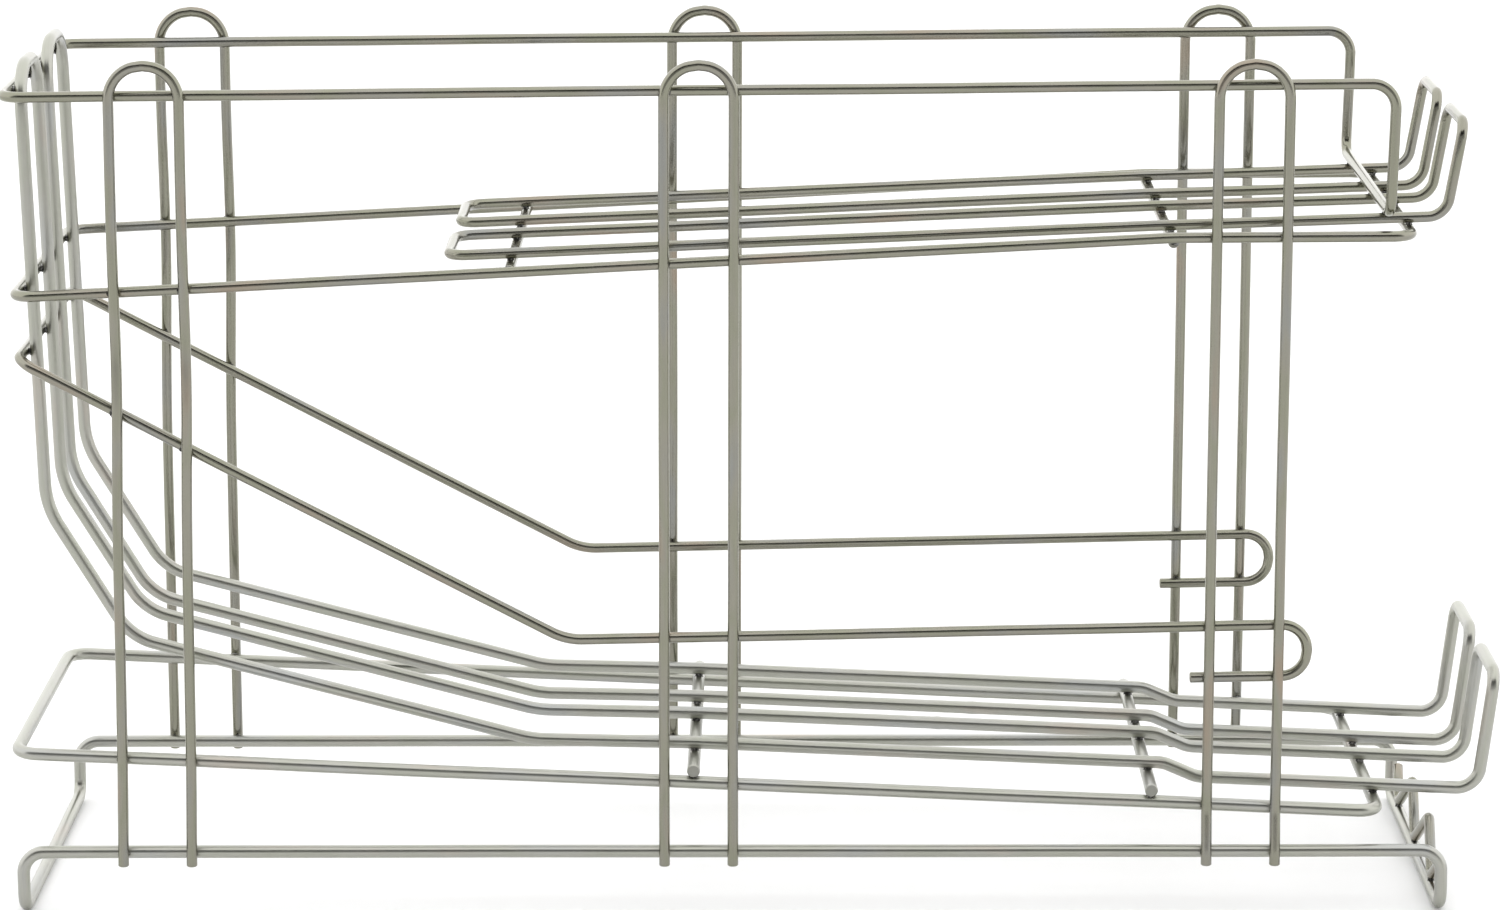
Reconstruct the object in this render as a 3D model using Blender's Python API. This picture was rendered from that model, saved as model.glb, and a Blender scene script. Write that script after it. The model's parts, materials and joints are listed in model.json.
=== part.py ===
"""Gravity-feed rack for large catering cans, as separately named lengths of welded steel wire.

Metres, +Z up. +X is the front, where cans go in above and come out below. -Y is the left side.
Every wire is its own closed solid. Wires that are welded in the real rack stand WELD_GAP apart.
"""
import math
import bpy
from mathutils import Vector

MM = 0.001

# ---- wire gauges and fit ----
THIN = 5.4 * MM
HEAVY = 6.4 * MM
WELD_GAP = 0.3 * MM
FACETS = 12
BEND_STEPS = 4
PLAIN_TURN = math.radians(1.7)

# ---- overall sizes ----
RACK_LENGTH = 712.0 * MM
BASE_FRONT_X = 341.0 * MM
BACK_X = BASE_FRONT_X - RACK_LENGTH
SIDE_Y = 94.0 * MM
LOWER_SIDE_Y = SIDE_Y + 1.0 * MM
BASE_SIDE_Y = SIDE_Y + 4.5 * MM
FOOT_DROP = 29.6 * MM

# ---- base ring ----
BASE_TOP_BEND = 11.0 * MM
BASE_FOOT_BEND = 9.0 * MM

# ---- lower ramp ring ----
LOWER_RING_BACK_X = BACK_X - 2.5 * MM
LOWER_RING_FRONT_X = 309.0 * MM
LOWER_RING_Z0 = 33.5 * MM
LOWER_SLOPE = -0.0458
RING_CORNER = 11.0 * MM

# ---- runner loops, shared ----
LOWER_RUN_OUT_Y = SIDE_Y - 24.0 * MM
LOWER_RUN_IN_Y = 15.7 * MM
UPPER_RUN_OUT_Y = SIDE_Y - 20.6 * MM
UPPER_RUN_IN_Y = 18.1 * MM
STOP_CORNER = 9.0 * MM

# ---- lower runners, side profile ----
LOWER_BAR_REAR_X = -34.0 * MM
LOWER_BAR_FRONT_X = 195.0 * MM
BACK_LEG_X = BACK_X + 13.5 * MM
BACK_LEG_LEAN = 0.025
BACK_LEG_TOP_Z = 392.3 * MM
BACK_KNEE_Z = 172.0 * MM
BACK_TOP_BEND = 20.0 * MM
CHUTE_KNEE_X = BACK_X + 54.0 * MM
CHUTE_KNEE_Z = 104.0 * MM
RUNWAY_START_X = -116.0 * MM
RUNWAY_START_Z = 50.4 * MM
STEP_LENGTH = 17.0 * MM
STEP_START = 8.0 * MM
LOWER_STOP_X = 362.0 * MM
LOWER_STOP_TOP_Z = 84.0 * MM
LOWER_STOP_LEAN = 0.124

# ---- upper runners, side profile ----
UPPER_BACK_X = -154.0 * MM
UPPER_BACK_Z = 299.2 * MM
UPPER_BAR_REAR_X = -123.0 * MM
UPPER_BAR_FRONT_X = 202.0 * MM
UPPER_MID_X = 196.0 * MM
UPPER_MID_Z = 313.7 * MM
UPPER_STOP_X = 337.0 * MM
UPPER_STOP_Z = 318.0 * MM
UPPER_STOP_TOP_Z = 364.5 * MM
UPPER_STOP_LEAN = 0.164

# ---- upper ramp ring ----
UPPER_RING_Z0 = 301.0 * MM
UPPER_SLOPE = 0.0506
UPPER_RING_BEND_X = 201.0 * MM
UPPER_RING_FRONT_X = 319.0 * MM

# ---- top ring ----
TOP_RING_BACK_Z = 381.4 * MM
TOP_RING_FRONT_Z = 386.9 * MM
TOP_RING_FRONT_X = 308.7 * MM
TOP_RING_BEND = 12.0 * MM

# ---- mid guide ----
GUIDE_BACK_Z = 250.8 * MM
GUIDE_KNEE_X = -97.0 * MM
GUIDE_KNEE_Z = 108.6 * MM
GUIDE_FRONT_X = 258.3 * MM
GUIDE_FRONT_Z = 116.2 * MM
GUIDE_HOOK_R = 13.2 * MM
GUIDE_HOOK_LENGTH = 45.0 * MM

# ---- hairpin uprights ----
UPRIGHT_X = (BACK_X + 68.5 * MM, -31.6 * MM, 239.5 * MM)
UPRIGHT_LEAN = (4.0 * MM, 2.0 * MM, 0.0 * MM)
UPRIGHT_SPREAD = 34.2 * MM
UPRIGHT_TOP_Z = 397.4 * MM
UPRIGHT_FOOT_Z = -5.5 * MM

# ---- front zigzag ----
ZIGZAG_PITCH = 64.0 * MM
ZIGZAG_RISE = 21.5 * MM
ZIGZAG_LEAN = 2.6 * MM
ZIGZAG_BEND = 4.6 * MM
ZIGZAG_TURNS = 2

THIN_R = THIN / 2
HEAVY_R = HEAVY / 2


def clear_scene():
    for item in list(bpy.data.objects):
        bpy.data.objects.remove(item, do_unlink=True)


def bend_path(points, radii, closed):
    """Polyline with each corner rounded to its own bend radius, unless it hardly turns."""
    pts = [Vector(p) for p in points]
    count = len(pts)
    out = []
    for i, p in enumerate(pts):
        if not closed and i in (0, count - 1):
            out.append(p)
            continue
        a = (pts[i - 1] - p)
        b = (pts[(i + 1) % count] - p)
        ua = a.normalized()
        ub = b.normalized()
        turn = math.pi - ua.angle(ub)
        if radii[i] <= 0 or turn < PLAIN_TURN:
            out.append(p)
            continue
        reach = radii[i] * math.tan(turn / 2)
        start = p + ua * reach
        axis = ua.cross(ub).normalized()
        centre = start + axis.cross(ua) * radii[i]
        arm = start - centre
        steps = max(2, math.ceil(BEND_STEPS * turn / (math.pi / 2)))
        normal = arm.normalized()
        along = -ua
        for k in range(steps + 1):
            t = turn * k / steps
            out.append(centre + radii[i] * (normal * math.cos(t) + along * math.sin(t)))
    return out


def frames(path, closed):
    """Section axes carried along the path without twisting, and closed up evenly on a ring."""
    count = len(path)
    tangents = []
    for i in range(count):
        before = path[i] - path[i - 1] if (closed or i > 0) else path[1] - path[0]
        after = path[(i + 1) % count] - path[i] if (closed or i < count - 1) else before
        tangents.append((before.normalized() + after.normalized()).normalized())
    t0 = tangents[0]
    up = Vector((0, 0, 1))
    if abs(t0.dot(up)) > 0.9:
        up = Vector((1, 0, 0))
    normal = (up - t0 * up.dot(t0)).normalized()
    normals = [normal]
    for i in range(1, count):
        turn = tangents[i - 1].rotation_difference(tangents[i])
        normal = turn @ normal
        normal = (normal - tangents[i] * normal.dot(tangents[i])).normalized()
        normals.append(normal)
    spin = 0.0
    if closed:
        turn = tangents[-1].rotation_difference(tangents[0])
        back = turn @ normals[-1]
        side = tangents[0].cross(normals[0])
        step = 2 * math.pi / FACETS
        spin = math.atan2(back.dot(side), back.dot(normals[0]))
        spin = (spin + step / 2) % step - step / 2
    return tangents, normals, spin


def wire(name, path, radius, material, closed=True):
    """One length of round wire as a closed solid with flat cut ends."""
    tangents, normals, spin = frames(path, closed)
    count = len(path)
    step = 2 * math.pi / FACETS
    size = radius * math.sqrt(2 * math.pi / (FACETS * math.sin(step)))
    shift = 0
    if closed:
        turn = tangents[-1].rotation_difference(tangents[0])
        back = turn @ normals[-1]
        side = tangents[0].cross(normals[0])
        shift = round(math.atan2(back.dot(side), back.dot(normals[0])) / step)
    verts = []
    for i, p in enumerate(path):
        side = tangents[i].cross(normals[i])
        undo = -spin * i / count if closed else 0.0
        before = path[i] - path[i - 1] if (closed or i > 0) else path[1] - path[0]
        stretch_axis = None
        cut = before.normalized().dot(tangents[i])
        if cut < 0.9999:
            bend = (tangents[i] * cut - before.normalized())
            stretch_axis = bend.normalized()
        for k in range(FACETS):
            angle = step * (k + 0.5) + undo
            arm = (normals[i] * math.cos(angle) + side * math.sin(angle)) * size
            if stretch_axis is not None:
                arm += stretch_axis * arm.dot(stretch_axis) * (1 / cut - 1)
            verts.append(p + arm)
    faces = []
    spans = count if closed else count - 1
    for i in range(spans):
        j = (i + 1) % count
        slip = shift if (closed and j == 0) else 0
        for k in range(FACETS):
            m = (k + 1) % FACETS
            a = i * FACETS + k
            b = i * FACETS + m
            c = j * FACETS + (m + slip) % FACETS
            d = j * FACETS + (k + slip) % FACETS
            faces.append((a, b, c, d))
    if not closed:
        faces.append(tuple(reversed(range(FACETS))))
        faces.append(tuple((count - 1) * FACETS + k for k in range(FACETS)))
    mesh = bpy.data.meshes.new(name)
    mesh.from_pydata(verts, [], faces)
    mesh.validate()
    mesh.update()
    for face in mesh.polygons:
        face.use_smooth = len(face.vertices) == 4
    mesh.materials.append(material)
    item = bpy.data.objects.new(name, mesh)
    bpy.context.scene.collection.objects.link(item)
    return item


def zinc(name, shade):
    material = bpy.data.materials.new(name)
    material.use_nodes = True
    shader = material.node_tree.nodes["Principled BSDF"]
    shader.inputs["Base Color"].default_value = (shade, shade * 0.99, shade * 0.95, 1.0)
    shader.inputs["Metallic"].default_value = 1.0
    shader.inputs["Roughness"].default_value = 0.35
    return material


def lower_ring_z(x):
    return LOWER_RING_Z0 + LOWER_SLOPE * x


def upper_ring_z(x):
    return UPPER_RING_Z0 + UPPER_SLOPE * min(x, UPPER_RING_BEND_X)


def back_leg_x(z):
    return BACK_LEG_X - BACK_LEG_LEAN * (z - BACK_KNEE_Z)


def between(x, x0, z0, x1, z1):
    return z0 + (z1 - z0) * (x - x0) / (x1 - x0)


def upper_run_z(x):
    if x < UPPER_MID_X:
        return between(x, UPPER_BACK_X, UPPER_BACK_Z, UPPER_MID_X, UPPER_MID_Z)
    return between(x, UPPER_MID_X, UPPER_MID_Z, UPPER_STOP_X, UPPER_STOP_Z)


def guide_z(x):
    back = back_leg_x(GUIDE_BACK_Z) - HEAVY_R - THIN_R - WELD_GAP
    if x < GUIDE_KNEE_X:
        return between(x, back, GUIDE_BACK_Z, GUIDE_KNEE_X, GUIDE_KNEE_Z)
    return between(x, GUIDE_KNEE_X, GUIDE_KNEE_Z, GUIDE_FRONT_X, GUIDE_FRONT_Z)


def top_ring_z(x):
    return between(x, BACK_X, TOP_RING_BACK_Z, TOP_RING_FRONT_X, TOP_RING_FRONT_Z)


def ring(name, profile, side_y, radii, radius, material):
    """Closed ring: one side profile on each side, joined straight across at both ends."""
    left = [(x, -side_y, z) for x, z in profile]
    right = [(x, side_y, z) for x, z in reversed(profile)]
    path = bend_path(left + right, radii + radii[::-1], True)
    return wire(name, path, radius, material)


def loop(name, profile, y_out, y_in, radii, radius, material):
    """Closed runner loop: the same side profile twice, joined across at the back and at the front."""
    near = [(x, y_out, z) for x, z in profile]
    far = [(x, y_in, z) for x, z in reversed(profile)]
    path = bend_path(near + far, radii + radii[::-1], True)
    return wire(name, path, radius, material)


def base_ring():
    profile = [(BACK_X, -FOOT_DROP), (BACK_X, 0.0), (BASE_FRONT_X, 0.0), (BASE_FRONT_X, -FOOT_DROP)]
    radii = [BASE_FOOT_BEND, BASE_TOP_BEND, BASE_TOP_BEND, BASE_FOOT_BEND]
    ring("base_ring", profile, BASE_SIDE_Y, radii, HEAVY_R, zinc("zinc_base_ring", 0.62))


def lower_ramp_ring():
    profile = [(x, lower_ring_z(x)) for x in (LOWER_RING_BACK_X, LOWER_RING_FRONT_X)]
    ring("lower_ramp_ring", profile, LOWER_SIDE_Y, [RING_CORNER] * 2, HEAVY_R, zinc("zinc_lower_ring", 0.61))


def upper_ramp_ring():
    back = back_leg_x(upper_ring_z(BACK_X)) - HEAVY_R - THIN_R - WELD_GAP
    front_z = upper_run_z(UPPER_RING_FRONT_X) - THIN - WELD_GAP
    bend = UPPER_RING_BEND_X
    profile = [(back, upper_ring_z(back)), (bend, upper_ring_z(bend)), (UPPER_RING_FRONT_X, front_z)]
    radii = [RING_CORNER, 8 * RING_CORNER, RING_CORNER]
    ring("upper_ramp_ring", profile, SIDE_Y, radii, THIN_R, zinc("zinc_upper_ring", 0.6))


def top_ring():
    back = back_leg_x(TOP_RING_BACK_Z) - HEAVY_R - THIN_R - WELD_GAP
    rest_z = upper_run_z(TOP_RING_FRONT_X) + THIN + WELD_GAP
    front = TOP_RING_FRONT_X
    profile = [(back, TOP_RING_BACK_Z), (front, TOP_RING_FRONT_Z), (front - 1.5 * MM, rest_z)]
    radii = [RING_CORNER, TOP_RING_BEND, 0.8 * RING_CORNER]
    ring("top_ring", profile, SIDE_Y, radii, THIN_R, zinc("zinc_top_ring", 0.6))


def mid_guide():
    back = back_leg_x(GUIDE_BACK_Z) - HEAVY_R - THIN_R - WELD_GAP
    low_z = GUIDE_FRONT_Z - 2 * GUIDE_HOOK_R
    side = [
        (back, GUIDE_BACK_Z),
        (GUIDE_KNEE_X, GUIDE_KNEE_Z),
        (GUIDE_FRONT_X + GUIDE_HOOK_R, GUIDE_FRONT_Z),
        (GUIDE_FRONT_X + GUIDE_HOOK_R, low_z),
        (GUIDE_FRONT_X - GUIDE_HOOK_LENGTH, low_z - 1.0 * MM),
    ]
    radii = [RING_CORNER, 3 * RING_CORNER, GUIDE_HOOK_R * 0.97, GUIDE_HOOK_R * 0.97, 0.0]
    left = [(x, -SIDE_Y, z) for x, z in reversed(side)]
    right = [(x, SIDE_Y, z) for x, z in side]
    path = bend_path(left + right, radii[::-1] + radii, False)
    wire("mid_guide", path, THIN_R, zinc("zinc_mid_guide", 0.6), closed=False)


def upright_y(z, x):
    """Distance of a hairpin from the centre plane, so it lies against every side rail it crosses."""
    thin_fit = SIDE_Y + THIN + WELD_GAP
    heavy_fit = HEAVY_R + THIN_R + WELD_GAP
    base_y = BASE_SIDE_Y + heavy_fit
    ring_y = LOWER_SIDE_Y + heavy_fit
    knots = [
        (UPRIGHT_FOOT_Z, base_y + 0.3 * MM),
        (0.0, base_y + 0.1 * MM),
        (lower_ring_z(x), ring_y),
        (guide_z(x) - 4 * THIN, thin_fit),
    ]
    for (z0, y0), (z1, y1) in zip(knots, knots[1:]):
        if z <= z1:
            return between(z, z0, y0, z1, y1)
    return thin_fit


def upright(name, index, side, shade):
    x = UPRIGHT_X[index]
    lean = UPRIGHT_LEAN[index]
    half = UPRIGHT_SPREAD / 2
    levels = [UPRIGHT_FOOT_Z, 0.0, lower_ring_z(x), guide_z(x + half) - 4 * THIN, UPRIGHT_TOP_Z]
    down = []
    for z in levels:
        down.append((z, side * upright_y(z, x), lean * z / UPRIGHT_TOP_Z))
    left = [(x - half + s, y, z) for z, y, s in down]
    right = [(x + half + s, y, z) for z, y, s in reversed(down)]
    radii = [0.0] + [40 * MM] * 3 + [half * 0.98]
    path = bend_path(left + right, radii + radii[::-1], False)
    wire(name, path, THIN_R, zinc("zinc_" + name, shade), closed=False)


def lower_runner(name, side):
    rear_rest = lower_ring_z(LOWER_BAR_REAR_X) + 2 * (HEAVY + WELD_GAP)
    front_rest = lower_ring_z(LOWER_BAR_FRONT_X) + 2 * (HEAVY + WELD_GAP)
    step_x = LOWER_BAR_FRONT_X + STEP_START
    ring_rest = lower_ring_z(LOWER_RING_FRONT_X) + HEAVY + WELD_GAP
    after_x = step_x + STEP_LENGTH
    rise = LOWER_STOP_TOP_Z - ring_rest
    profile = [
        (back_leg_x(BACK_LEG_TOP_Z), BACK_LEG_TOP_Z),
        (BACK_LEG_X, BACK_KNEE_Z),
        (CHUTE_KNEE_X, CHUTE_KNEE_Z),
        (RUNWAY_START_X, RUNWAY_START_Z),
        (LOWER_BAR_REAR_X, rear_rest),
        (step_x, front_rest + LOWER_SLOPE * STEP_START),
        (after_x, ring_rest + LOWER_SLOPE * (after_x - LOWER_RING_FRONT_X)),
        (LOWER_STOP_X, ring_rest + LOWER_SLOPE * (LOWER_STOP_X - LOWER_RING_FRONT_X)),
        (LOWER_STOP_X + LOWER_STOP_LEAN * rise, LOWER_STOP_TOP_Z),
    ]
    radii = [BACK_TOP_BEND, 45 * MM, 30 * MM, 60 * MM, 60 * MM, 18 * MM, 18 * MM, 12 * MM, STOP_CORNER]
    shade = 0.6 if side < 0 else 0.63
    loop(name, profile, side * LOWER_RUN_OUT_Y, side * LOWER_RUN_IN_Y, radii, HEAVY_R, zinc("zinc_" + name, shade))


def upper_runner(name, side):
    rise = UPPER_STOP_TOP_Z - UPPER_STOP_Z
    profile = [
        (UPPER_BACK_X, UPPER_BACK_Z),
        (UPPER_MID_X, UPPER_MID_Z),
        (UPPER_STOP_X, UPPER_STOP_Z),
        (UPPER_STOP_X + UPPER_STOP_LEAN * rise, UPPER_STOP_TOP_Z),
    ]
    radii = [STOP_CORNER, 90 * MM, 11 * MM, STOP_CORNER]
    shade = 0.59 if side < 0 else 0.62
    loop(name, profile, side * UPPER_RUN_OUT_Y, side * UPPER_RUN_IN_Y, radii, THIN_R, zinc("zinc_" + name, shade))


def bar(name, x, z, half, radius, shade):
    path = [Vector((x, -half, z)), Vector((x, half, z))]
    wire(name, path, radius, zinc("zinc_" + name, shade), closed=False)


def cross_bars():
    for end, x in (("rear", LOWER_BAR_REAR_X), ("front", LOWER_BAR_FRONT_X)):
        z = lower_ring_z(x) + HEAVY + WELD_GAP
        bar("lower_cross_bar_" + end, x, z, LOWER_SIDE_Y + 1.3 * HEAVY_R, HEAVY_R, 0.58)
    for end, x in (("rear", UPPER_BAR_REAR_X), ("front", UPPER_BAR_FRONT_X)):
        z = upper_run_z(x) - THIN - WELD_GAP
        bar("upper_cross_bar_" + end, x, z, SIDE_Y - THIN_R - WELD_GAP, THIN_R, 0.57)


def front_zigzag():
    """Zigzag that stands on the base ring's front cross piece and leans a little to the front."""
    sharp = math.atan2(ZIGZAG_RISE, ZIGZAG_PITCH / 2)
    lift = ZIGZAG_BEND * (1 / math.cos(sharp) - 1)
    low_z = -FOOT_DROP + HEAVY_R + THIN_R + WELD_GAP - lift
    top_z = low_z + ZIGZAG_RISE
    points = []
    count = 2 * ZIGZAG_TURNS + 1
    for i in range(count):
        y = (i - (count - 1) / 2) * ZIGZAG_PITCH / 2
        up = i % 2 == 1
        points.append((BASE_FRONT_X + (ZIGZAG_LEAN if up else 0.0), y, top_z if up else low_z))
    tail_y = points[0][1] - 0.32 * ZIGZAG_PITCH
    tail_z = low_z + 0.64 * ZIGZAG_RISE
    tail_x = BASE_FRONT_X + 0.64 * ZIGZAG_LEAN
    points = [(tail_x, tail_y, tail_z)] + points + [(tail_x, -tail_y, tail_z)]
    radii = [0.0] + [ZIGZAG_BEND] * count + [0.0]
    path = bend_path(points, radii, False)
    wire("front_zigzag_wire", path, THIN_R, zinc("zinc_zigzag", 0.6), closed=False)


def stand_on_floor():
    """Centres the rack on the origin and sets its feet on the floor."""
    items = list(bpy.context.scene.collection.objects)
    low = Vector((1e9, 1e9, 1e9))
    high = -low
    for item in items:
        for vert in item.data.vertices:
            for k in range(3):
                low[k] = min(low[k], vert.co[k])
                high[k] = max(high[k], vert.co[k])
    shift = Vector((-(low.x + high.x) / 2, -(low.y + high.y) / 2, -low.z))
    for item in items:
        for vert in item.data.vertices:
            vert.co += shift


def build():
    clear_scene()
    base_ring()
    lower_ramp_ring()
    upper_ramp_ring()
    top_ring()
    mid_guide()
    for index, place in enumerate(("rear", "middle", "front")):
        upright(place + "_upright_left", index, -1, 0.58)
        upright(place + "_upright_right", index, 1, 0.6)
    lower_runner("lower_runner_left", -1)
    lower_runner("lower_runner_right", 1)
    upper_runner("upper_runner_left", -1)
    upper_runner("upper_runner_right", 1)
    cross_bars()
    front_zigzag()
    stand_on_floor()


build()
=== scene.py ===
"""Looks of the welded wire can rack: round zinc-plated wires, weld metal, studio and camera.

Metres, +Z up, +X the front of the rack, -Y its left side. Every wire follows the centre line of
the frame's own wire, so a size is changed in the frame and never here.
"""

import json
import math
from functools import cache
from itertools import combinations

import bpy
from mathutils import Matrix, Vector, geometry, kdtree, noise


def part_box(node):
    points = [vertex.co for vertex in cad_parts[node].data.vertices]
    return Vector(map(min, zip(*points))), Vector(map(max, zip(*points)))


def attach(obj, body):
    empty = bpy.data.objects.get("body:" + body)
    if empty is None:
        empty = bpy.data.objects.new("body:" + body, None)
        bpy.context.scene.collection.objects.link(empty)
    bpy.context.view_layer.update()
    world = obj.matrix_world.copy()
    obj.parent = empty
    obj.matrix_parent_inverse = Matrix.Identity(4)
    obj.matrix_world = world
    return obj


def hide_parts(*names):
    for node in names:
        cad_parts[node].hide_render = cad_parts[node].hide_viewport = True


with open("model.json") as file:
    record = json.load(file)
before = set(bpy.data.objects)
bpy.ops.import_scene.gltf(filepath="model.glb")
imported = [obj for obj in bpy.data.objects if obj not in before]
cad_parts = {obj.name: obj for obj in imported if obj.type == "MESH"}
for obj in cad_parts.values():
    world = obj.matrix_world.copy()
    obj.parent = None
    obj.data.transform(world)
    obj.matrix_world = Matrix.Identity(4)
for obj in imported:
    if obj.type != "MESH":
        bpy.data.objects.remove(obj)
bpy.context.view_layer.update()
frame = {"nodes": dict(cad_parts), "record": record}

bl_info = {
    "name": "Welded Wire Can Rack",
    "version": (1, 0, 0),
    "blender": (4, 5, 0),
    "location": "3D View > Sidebar > Can Rack",
    "description": "Round zinc-plated wires and weld metal over the can rack's frame",
    "category": "Object",
}

MM = 0.001
BODY = "root"

# ---- the frame's wires: sides of one, and how close two corners are when they are the same ----
FACETS = 12
MERGE = 1e-7
ROUND_SHARE = math.sqrt(FACETS * math.sin(2 * math.pi / FACETS) / (2 * math.pi))
# corners of one wire lie within this of the middle of its longest span
CUT_REACH = 10.0 * MM
# a span this many times longer than its neighbour is a straight run beside a bend
STRAIGHT_RATIO = 1.6
# a span is bent when the heading at one of its ends covers less than this share of it
STRAIGHT_SHARE = 0.99999
# a wire that starts out steeper than this is swept from the X axis, and any other from Z
STEEP = 0.9
WIRES = sorted(frame["nodes"])
HEAVY_NODES = {row["node"] for row in frame["record"]["subparts"] if row["material_slot"] == "heavy_wire"}

# ---- where wires are welded: a gap up to WELD_GAP, and never where two long runs lie alongside ----
WELD_GAP = 0.6 * MM
SAME_WELD = 10.0 * MM
SPAN_IS_LONG = 20.0 * MM
ALONGSIDE = 0.9
AT_END = 0.1 * MM
NO_WELD_NEAR = 1.0
WELD_HOSTS = (
    "front_zigzag",
    "top_ring",
    "upper_ramp_ring",
    "mid_guide",
    "lower_ramp_ring",
    "base_ring",
    "upper_cross_bar",
    "lower_cross_bar",
)

# ---- butt seams in the inner wires of the lower runners: distance along the rack ----
SEAMS = {"lower_runner_left": 93.0 * MM, "lower_runner_right": 112.0 * MM}
SEAM_WIDTH = 2.2 * MM
SEAM_REACH = 8.0 * MM
SEAM_TOP = 120.0 * MM
INNER_WIRE_Y = 30.0 * MM

# ---- where a bending die gripped the rear uprights: height of the mark ----
DIE_MARKS = {"rear_upright_left": 273.0 * MM, "rear_upright_right": 306.0 * MM}
DIE_REACH = 22.0 * MM
DIE_SHIFT_LENGTH = 55.0 * MM
DIE_DENT = 0.14
DIE_DENT_LENGTH = 8.0 * MM
# a dark reflection is painted on the -Y side of each die mark: its rise above the mark, its length, and the
# width of the side it covers
DIE_REFLECTION_RISE = 4.0 * MM
DIE_REFLECTION_LENGTH = 11.0 * MM
DIE_REFLECTION_WIDTH = 2.7 * MM

# ---- what keeps the waver, the stains and the weld metal of two wires from being alike ----
# the noise vectors start from this fixed draw, so every run bends the wires alike
WAVER_SEED = 1795073524
WAVER_STEP_X = 7.3
WAVER_STEP_Y = 1.9
STAIN_STEP = 1.7
BEAD_STEP_X = 3.1
BEAD_STEP_Y = 0.7

# ---- weld metal: sections round a bead and up it, and how lumpy it is ----
BEAD_AROUND = 20
BEAD_LEVELS = 6
BEAD_ROUGH = 0.22
BEAD_GRAIN = 1.7
BEAD_GRAIN_RISE = 0.4
# a bead climbs no further round a wire than this share of its radius
SURFACE_EDGE = 0.97

# ---- sections stay close together within this many reaches of the darkening round a weld ----
FINE_NEAR_WELD = 2.2


def bell(distance, width):
    """1 at no distance, falling smoothly to nothing past about two widths."""
    return math.exp(-((distance / width) ** 2))


# ---------------------------------------------------------------- settings


class WireShape(bpy.types.PropertyGroup):
    """Fineness and small flaws of the wires"""

    sides: bpy.props.IntProperty(
        name="Sides", description="Flat sides round a wire", default=20, min=8, max=64
    )
    fine_step: bpy.props.FloatProperty(
        name="Fine Step",
        description="Distance between sections in bends and near welds",
        default=1.5 * MM,
        subtype="DISTANCE",
        unit="LENGTH",
    )
    coarse_step: bpy.props.FloatProperty(
        name="Coarse Step",
        description="Distance between sections along straight runs",
        default=9.0 * MM,
        subtype="DISTANCE",
        unit="LENGTH",
    )
    waver: bpy.props.FloatProperty(
        name="Waver",
        description="How far a hand-straightened wire strays from its line",
        default=0.22 * MM,
        subtype="DISTANCE",
        unit="LENGTH",
    )
    waver_length: bpy.props.FloatProperty(
        name="Waver Length",
        description="Length of one stray",
        default=110.0 * MM,
        subtype="DISTANCE",
        unit="LENGTH",
    )
    burr: bpy.props.FloatProperty(
        name="End Chamfer",
        description="Rounding at a sheared end",
        default=0.45 * MM,
        subtype="DISTANCE",
        unit="LENGTH",
    )
    seam_swell: bpy.props.FloatProperty(
        name="Seam Swell",
        description="How much thicker a butt seam is than its wire, as a share of the radius",
        default=0.07,
    )
    die_shift: bpy.props.FloatProperty(
        name="Die Shift",
        description="How far the bending die pushed the rear uprights towards the front",
        default=1.2 * MM,
        subtype="DISTANCE",
        unit="LENGTH",
    )


class WeldShape(bpy.types.PropertyGroup):
    """Size of the weld metal between two wires"""

    reach: bpy.props.FloatProperty(
        name="Reach",
        description="How far weld metal spreads from the touching point, as a share of the wire's radius",
        default=0.78,
    )
    side_flash: bpy.props.FloatProperty(
        name="Side Flash",
        description="Share by which weld metal spreads further where an upright crosses a rail",
        default=0.32,
    )
    waist: bpy.props.FloatProperty(
        name="Waist", description="Hollow of the fillet, as a share of its reach", default=0.22
    )
    sink: bpy.props.FloatProperty(
        name="Sink",
        description="How far weld metal runs into each wire",
        default=0.3 * MM,
        subtype="DISTANCE",
        unit="LENGTH",
    )
    # how far from a weld the wires are darkened towards near-black
    dark_reach: bpy.props.FloatProperty(
        name="Darkening Reach",
        description="How far the scorch spreads from a weld",
        default=4.6 * MM,
        subtype="DISTANCE",
        unit="LENGTH",
    )


class ZincFinish(bpy.types.PropertyGroup):
    """Colours and gloss of the plating and the weld metal"""

    plate: bpy.props.FloatVectorProperty(
        name="Plate", description="Zinc plate", default=(0.372, 0.37, 0.335), size=3, subtype="COLOR"
    )
    warm: bpy.props.FloatVectorProperty(
        name="Warm Stain",
        description="Straw-coloured passivation",
        default=(0.4, 0.352, 0.3),
        size=3,
        subtype="COLOR",
    )
    olive: bpy.props.FloatVectorProperty(
        name="Olive Stain",
        description="Greenish passivation",
        default=(0.35, 0.36, 0.302),
        size=3,
        subtype="COLOR",
    )
    cool: bpy.props.FloatVectorProperty(
        name="Cool Stain",
        description="Bluish passivation",
        default=(0.35, 0.362, 0.365),
        size=3,
        subtype="COLOR",
    )
    # the near-black that the wires are darkened to close to each weld, and the dark of the weld metal
    weld_dark: bpy.props.FloatVectorProperty(
        name="Blackening",
        description="Darkened plating next to a weld",
        default=(0.035, 0.034, 0.032),
        size=3,
        subtype="COLOR",
    )
    thin_tint: bpy.props.FloatVectorProperty(
        name="Thin Wire Tint",
        description="What the plating's colours are multiplied by on the thin wires",
        default=(0.67, 0.652, 0.602),
        size=3,
        subtype="COLOR",
    )
    thin_roughness: bpy.props.FloatProperty(
        name="Thin Wire Roughness", description="Roughness of the thin wires", default=0.2
    )
    heavy_roughness: bpy.props.FloatProperty(
        name="Heavy Wire Roughness", description="Roughness of the heavy wires", default=0.3
    )


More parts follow.
